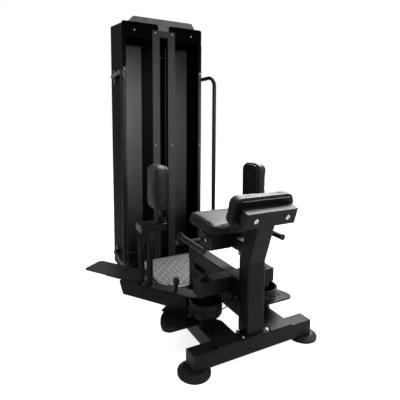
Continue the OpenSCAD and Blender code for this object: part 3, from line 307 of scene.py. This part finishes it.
# Base colour, roughness, and then what each kind of material takes
MATS = {
    "frame_black": powder("frame_black", (0.0064, 0.0064, 0.0068), 0.38, 0.060),
    "header_black": powder("header_black", (0.0016, 0.0016, 0.0018), 0.45, 0.0, wear_and_highlight=0),
    "panel_black": powder("panel_black", (0.0019, 0.0019, 0.0021), 0.42, 0.004, wear_and_highlight=0),
    "bay_black": powder("bay_black", (0.026, 0.026, 0.027), 0.34, 0.25, 0.02, 0.015, 0),
    "plate_black": powder("plate_black", (0.010, 0.010, 0.0105), 0.45, 0.07),
    "column_grey": two_faced("column_grey", (0.0185, 0.0185, 0.019), (0.003, 0.003, 0.0032),
                             0.45, 0.05),
    "vinyl_black": leather("vinyl_black", (0.0105, 0.0105, 0.0109), 0.54, 0.075),
    # The welt is coloured darker than the vinyl cover: painted shade of the crease between cushion
    # and board
    "piping_black": moulded("piping_black", (0.003, 0.003, 0.0033), 0.36, level=0.10),
    "rubber_black": moulded("rubber_black", (0.0110, 0.0110, 0.0110), 0.5, 500.0, 0.25, 0.07),
    "grip_black": moulded("grip_black", (0.0035, 0.0035, 0.0035), 0.34, 420.0, 0.25, 0.12),
    "cable_black": moulded("cable_black", (0.010, 0.010, 0.010), 0.35, 900.0, 0.2, 0.1),
    "pulley_black": moulded("pulley_black", (0.010, 0.010, 0.010), 0.45, level=0.1),
    # The boards' near-black is partly their own black and partly painted shade of their recess
    # behind the cushions
    "board_black": moulded("board_black", (0.0028, 0.0028, 0.0028), 0.4, level=0.05),
    "cap_grey": moulded("cap_grey", (0.090, 0.090, 0.093), 0.42, level=0.08),
    "bolt_silver": metal("bolt_silver", (0.40, 0.40, 0.41), 0.28),
    "screw_grey": metal("screw_grey", (0.16, 0.16, 0.16), 0.35),
    "rod_dark": metal("rod_dark", (0.07, 0.07, 0.072), 0.22, (1, 1, 0.05)),
    "tread_silver": metal("tread_silver", (0.235, 0.235, 0.235), 0.5, part=0.0, level=0.04),
    # The raised lozenges are the plate's own metal, coloured lighter as a painted highlight on
    # them
    "tread_raised": metal("tread_raised", (0.44, 0.44, 0.44), 0.4, part=0.0, level=0.12),
}

# Nodes whose look differs from that of the record's material slot
FINISH = {
    "tower_columns": "column_grey",
    "tower_headers": "header_black",
    "tower_back_panel": "bay_black",
    "cushion_boards": "board_black",
    "guide_rods": "rod_dark",
    "panel_screws": "screw_grey",
}


def dress_cad():
    slots = {s["node"]: s["material_slot"] for s in frame["record"]["subparts"]}
    for name, obj in NODES.items():
        obj.data.materials.clear()
        obj.data.materials.append(MATS[FINISH.get(name, slots[name])])


# Camera, floor and light


def make_camera():
    data = bpy.data.cameras.new("camera")
    data.lens = CAMERA_LENS
    data.sensor_width = 36.0
    data.shift_x, data.shift_y = CAMERA_SHIFT
    data.clip_start = 0.05
    camera = link(bpy.data.objects.new("camera", data))
    x, y, z = CAMERA_AT
    camera.location = (x, y + Y_SHIFT, z)
    camera.rotation_euler = (math.radians(90 - CAMERA_DOWN), 0.0, math.radians(CAMERA_TURN))
    bpy.context.scene.camera = camera


def seen_white(tree):
    """1 for rays from the camera, a reflection or through glass, 0 for light on the object."""
    path = tree.nodes.new("ShaderNodeLightPath")
    result = path.outputs["Is Camera Ray"]
    for word in ("Is Glossy Ray", "Is Transmission Ray"):
        most = tree.nodes.new("ShaderNodeMath")
        most.operation = "MAXIMUM"
        tree.links.new(result, most.inputs[0])
        tree.links.new(path.outputs[word], most.inputs[1])
        result = most.outputs["Value"]
    return result


def strength_by_ray(tree, low, high):
    """The high value for the rays of seen_white, and the low one for the others."""
    span = tree.nodes.new("ShaderNodeMapRange")
    span.inputs["To Min"].default_value = low
    span.inputs["To Max"].default_value = high
    tree.links.new(seen_white(tree), span.inputs["Value"])
    return span.outputs["Result"]


def make_floor():
    bm = bmesh.new()
    bmesh.ops.create_grid(bm, x_segments=1, y_segments=1, size=FLOOR_HALF)
    floor = mesh_object("floor", bm, False)
    recipe = Recipe("floor", 0.9).put(Specular_IOR_Level=0.0)
    recipe.colour((0.90, 0.90, 0.90), 1.5, 0.005)
    glow = recipe.node("Emission")
    recipe.join(strength_by_ray(recipe.tree, 0.0, FLOOR_GLOW), glow.inputs["Strength"])
    both = recipe.node("AddShader")
    recipe.join(recipe.bsdf.outputs[0], both.inputs[0])
    recipe.join(glow.outputs[0], both.inputs[1])
    out = [n for n in recipe.tree.nodes if n.type == "OUTPUT_MATERIAL"][0]
    recipe.join(both.outputs[0], out.inputs["Surface"])
    floor.data.materials.append(recipe.mat)


def make_lights():
    for name, (at, size, watts, target) in LAMPS.items():
        data = bpy.data.lights.new(name, "AREA")
        data.shape = "RECTANGLE"
        data.energy = watts
        data.size, data.size_y = size
        lamp = link(bpy.data.objects.new(name, data))
        aim(lamp, at, target)
        lamp.visible_diffuse = name != "sheen"
        lamp.visible_camera = False
    data = bpy.data.lights.new("tower", "SPOT")
    data.energy = SPOT_WATTS
    data.spot_size = math.radians(SPOT_ANGLE)
    data.spot_blend = 1.0
    data.shadow_soft_size = SPOT_RADIUS
    aim(link(bpy.data.objects.new("tower", data)), SPOT_AT, SPOT_AIM)
    world = bpy.data.worlds.new("world")
    world.use_nodes = True
    tree = world.node_tree
    background = tree.nodes["Background"]
    background.inputs[0].default_value = (1, 1, 1, 1)
    tree.links.new(strength_by_ray(tree, WORLD_LIGHT, 1.0), background.inputs[1])
    bpy.context.scene.world = world


# Cushions


def outline(w, l, r, steps=10):
    """A rounded rectangle as a loop of points, anticlockwise."""
    loop = []
    for q, (sx, sy) in enumerate(((1, 1), (-1, 1), (-1, -1), (1, -1))):
        for k in range(steps + 1):
            a = math.pi / 2 * (q + k / steps)
            loop.append((sx * (w / 2 - r) + r * math.cos(a), sy * (l / 2 - r) + r * math.sin(a)))
    return loop


def cushion_mesh(w, l, t, r, crown, edge):
    """Rings from the flat back, round the edges, over the crown."""
    bulge, round_steps, crown_steps, least_r = 0.0012, 6, 7, 0.004
    # Height and inset of each ring of the sides
    profile = [(0.0, 0.006), (0.001, 0.002), (0.004, 0.0)]
    profile += [(t * f, -bulge * math.sin(math.pi * f)) for f in (0.3, 0.5, 0.65)]
    for k in range(round_steps + 1):
        a = math.pi / 2 * k / round_steps
        profile.append((t - edge + edge * math.sin(a), edge * (1 - math.cos(a))))
    bm = bmesh.new()
    rings = []
    for z, inset in profile:
        ring = outline(w - 2 * inset, l - 2 * inset, max(r - inset, least_r))
        rings.append([bm.verts.new((x, y, z)) for x, y in ring])
    last = [(v.co.x, v.co.y) for v in rings[-1]]
    for k in range(1, crown_steps):
        f = k / crown_steps
        z = t + crown * (1 - (1 - f) ** 2)
        rings.append([bm.verts.new((x * (1 - f), y * (1 - f), z)) for x, y in last])
    n = len(rings[0])
    for a, b in zip(rings, rings[1:]):
        for i in range(n):
            bm.faces.new((a[i], a[(i + 1) % n], b[(i + 1) % n], b[i]))
    top = bm.verts.new((0, 0, t + crown))
    for i in range(n):
        bm.faces.new((rings[-1][i], rings[-1][(i + 1) % n], top))
    bm.faces.new(list(reversed(rings[0])))
    return bm


def inflate(obj, most):
    """Blows the cover up a little with a cloth simulation, keeps its back flat, and bakes it."""
    remesh = obj.modifiers.new("remesh", "REMESH")
    remesh.mode = "VOXEL"
    remesh.voxel_size = VOXEL
    bpy.context.view_layer.objects.active = obj
    bpy.ops.object.modifier_apply(modifier="remesh")
    start = [v.co.copy() for v in obj.data.vertices]
    cloth = obj.modifiers.new("cloth", "CLOTH")
    cloth.settings.use_pressure = True
    cloth.settings.uniform_pressure_force = PRESSURE
    cloth.settings.effector_weights.gravity = 0.0
    cloth.settings.quality = 4
    scene = bpy.context.scene
    for f in range(1, LAST_FRAME + 1):
        scene.frame_set(f)
    bpy.ops.object.modifier_apply(modifier="cloth")
    scene.frame_set(1)
    for v, p in zip(obj.data.vertices, start):
        move = v.co - p
        hold = min(1.0, max(0.0, (p.z - HOLD_FROM) / HOLD_OVER))
        if move.length > most:
            move *= most / move.length
        v.co = p + move * hold
        v.co.z = max(v.co.z, min(p.z, BACK_CLEAR))
    sub = obj.modifiers.new("smooth", "SUBSURF")
    sub.levels = sub.render_levels = 1
    bpy.ops.object.modifier_apply(modifier="smooth")
    for p in obj.data.polygons:
        p.use_smooth = True


def piping(name, w, l, r, place, body, sides=10):
    """A welt round the cushion's outline."""
    loop = outline(w, l, r, 12)
    bm = bmesh.new()
    n = len(loop)
    rings = []
    for i in range(n):
        before, here, after = Vector(loop[i - 1]), Vector(loop[i]), Vector(loop[(i + 1) % n])
        along = (after - before).normalized()
        out = Vector((along.y, -along.x))
        ring = []
        for k in range(sides):
            t = 2 * math.pi * k / sides
            at = here + out * (WELT_D / 2 * math.cos(t))
            ring.append(bm.verts.new((at.x, at.y, WELT_Z + WELT_D / 2 * math.sin(t))))
        rings.append(ring)
    for i in range(n):
        a, b = rings[i], rings[(i + 1) % n]
        for k in range(sides):
            bm.faces.new((a[k], b[k], b[(k + 1) % sides], a[(k + 1) % sides]))
    obj = mesh_object(name, bm)
    obj.data.transform(place)
    # The welt's dark colour includes painted shade of the crease between cushion and board
    obj.data.materials.append(MATS["piping_black"])
    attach(obj, body)
    return obj


def make_cushion(name, node, body, shape, place):
    """A simulated cushion with its welt, which stands in for the node's plain solid."""
    (w, l, t), r, crown, edge, most = shape
    obj = mesh_object(name, cushion_mesh(w, l, t, r, crown, edge))
    inflate(obj, most)
    obj.data.transform(place)
    obj.data.materials.append(MATS["vinyl_black"])
    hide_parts(node)
    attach(obj, body)
    w, l, r = w - 2 * WELT_INSET, l - 2 * WELT_INSET, r - WELT_INSET
    welt = piping(name + "_welt", w, l, r, place, body)


def floor_place():
    return Matrix.Translation((0, Y_SHIFT, 0))


def lean_place():
    return floor_place() @ Matrix.Translation((0, POST_Y, LEAN_Z)) @ Matrix.Rotation(LEAN, 4, "X")


def arm_place(side):
    flip = Matrix.Scale(-1, 4, (1, 0, 0)) if side < 0 else Matrix.Identity(4)
    turn = Matrix.Rotation(-ARM_OPEN, 4, "Z")
    return floor_place() @ flip @ Matrix.Translation((*PIVOT, 0)) @ turn


def make_cushions():
    seat = floor_place() @ Matrix.Translation((0, SEAT_BOX_Y, SEAT_BOX_TOP))
    seat = seat @ Matrix.Rotation(SEAT_TILT, 4, "X")
    seat = seat @ Matrix.Translation((0, SEAT_MIDDLE, BOARD_T + GAP))
    make_cushion("seat_pad", "seat_cushion", "frame", SEAT_PAD, seat)
    front = LUMBAR_FRONT + BOARD_T + GAP
    back = lean_place() @ Matrix.Translation((0, front, BACK_FROM + BACK_MIDDLE))
    back = back @ Matrix.Rotation(-math.pi / 2, 4, "X")
    make_cushion("back_pad", "back_cushion", "frame", BACK_PAD, back)
    for side, word in ((-1, "left"), (1, "right")):
        low = PAD_Z - (RIGHT_PAD_DROP if side > 0 else 0)
        place = arm_place(side) @ Matrix.Translation((*SPINDLE, 0))
        place = place @ Matrix.Rotation(ARM_OPEN, 4, "Z")
        place = place @ Matrix.Translation((PAD_BACK + BOARD_T + GAP, 0, low + PAD_H / 2))
        place = place @ Matrix.Rotation(math.pi / 2, 4, "Y")
        make_cushion("knee_cushion_" + word, "knee_pad_" + word, word + "_knee", KNEE_PAD, place)


# Small details


def add_ring(bm, place, profile, sides=36):
    """Adds a solid of revolution about the place's Z from a closed loop of radius and height."""
    rings = []
    for k in range(sides):
        c, s = math.cos(2 * math.pi * k / sides), math.sin(2 * math.pi * k / sides)
        rings.append([bm.verts.new(place @ Vector((r * c, r * s, z))) for r, z in profile])
    n = len(profile)
    for k in range(sides):
        a, b = rings[k], rings[(k + 1) % sides]
        for i in range(n):
            bm.faces.new((a[i], b[i], b[(i + 1) % n], a[(i + 1) % n]))


def make_grip_ribs():
    """Raised rubber rings along each hand grip."""
    low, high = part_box("hand_grips")
    r = GRIP_R
    profile = [(r - 0.0008, -0.0018), (r + 0.0007, -0.0010), (r + 0.0009, 0.0),
               (r + 0.0007, 0.0010), (r - 0.0008, 0.0018)]
    turn = Matrix.Rotation(math.pi / 2, 4, "X")
    for word, x in (("left", low.x + GRIP_END_R), ("right", high.x - GRIP_END_R)):
        bm = bmesh.new()
        for k in range(GRIP_RIBS):
            at = (x, high.y - GRIP_RIB_FROM - k * GRIP_RIB_STEP, (low.z + high.z) / 2)
            add_ring(bm, Matrix.Translation(at) @ turn, profile)
        obj = mesh_object("grip_ribs_" + word, bm)
        obj.data.materials.append(MATS["grip_black"])
        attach(obj, "frame")


def add_lozenge(bm, at, turn, steps=6):
    """Adds one lens-shaped lozenge with a ridge along its middle."""
    c, s = math.cos(turn), math.sin(turn)

    def put(u, v, z):
        return bm.verts.new(at + Vector((u * c - v * s, u * s + v * c, z)))

    swell = [math.sin(math.pi * k / steps) for k in range(steps + 1)]
    along = [LOZENGE_L * (k / steps - 0.5) for k in range(steps + 1)]
    lower = [put(u, -LOZENGE_W / 2 * f, -LOZENGE_SINK) for u, f in zip(along, swell)]
    inner = list(zip(along, swell))[1:-1]
    upper = [put(u, LOZENGE_W / 2 * f, -LOZENGE_SINK) for u, f in inner]
    ridge = [put(u * 0.75, 0, LOZENGE_H * (0.35 + 0.65 * f)) for u, f in inner]
    left, right = lower[0], lower[-1]
    for k in range(len(ridge) - 1):
        bm.faces.new((lower[k + 1], lower[k + 2], ridge[k + 1], ridge[k]))
        bm.faces.new((ridge[k], ridge[k + 1], upper[k + 1], upper[k]))
    bm.faces.new((left, lower[1], ridge[0]))
    bm.faces.new((left, ridge[0], upper[0]))
    bm.faces.new((lower[-2], right, ridge[-1]))
    bm.faces.new((ridge[-1], right, upper[-1]))
    bm.faces.new([left] + upper + [right] + list(reversed(lower[1:-1])))


def make_tread_pattern():
    low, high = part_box("tread_plate")
    pitch = LOZENGE_PITCH
    nx = int((high.x - low.x - 2 * TREAD_MARGIN) / pitch)
    ny = int((high.y - low.y - 2 * TREAD_MARGIN) / pitch)
    x0 = (low.x + high.x) / 2 - pitch * (nx - 1) / 2
    y0 = (low.y + high.y) / 2 - pitch * (ny - 1) / 2
    bm = bmesh.new()
    for i in range(nx):
        for j in range(ny):
            turn = math.pi / 4 if (i + j) % 2 else -math.pi / 4
            add_lozenge(bm, Vector((x0 + i * pitch, y0 + j * pitch, high.z)), turn)
    obj = mesh_object("tread_lozenges", bm, False)
    # Lighter than the plate: painted highlight on the raised lozenges
    obj.data.materials.append(MATS["tread_raised"])
    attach(obj, "frame")


make_camera()
make_floor()
make_lights()
dress_cad()
make_cushions()
make_tread_pattern()
make_grip_ribs()
bpy.context.scene.view_settings.view_transform = "Standard"
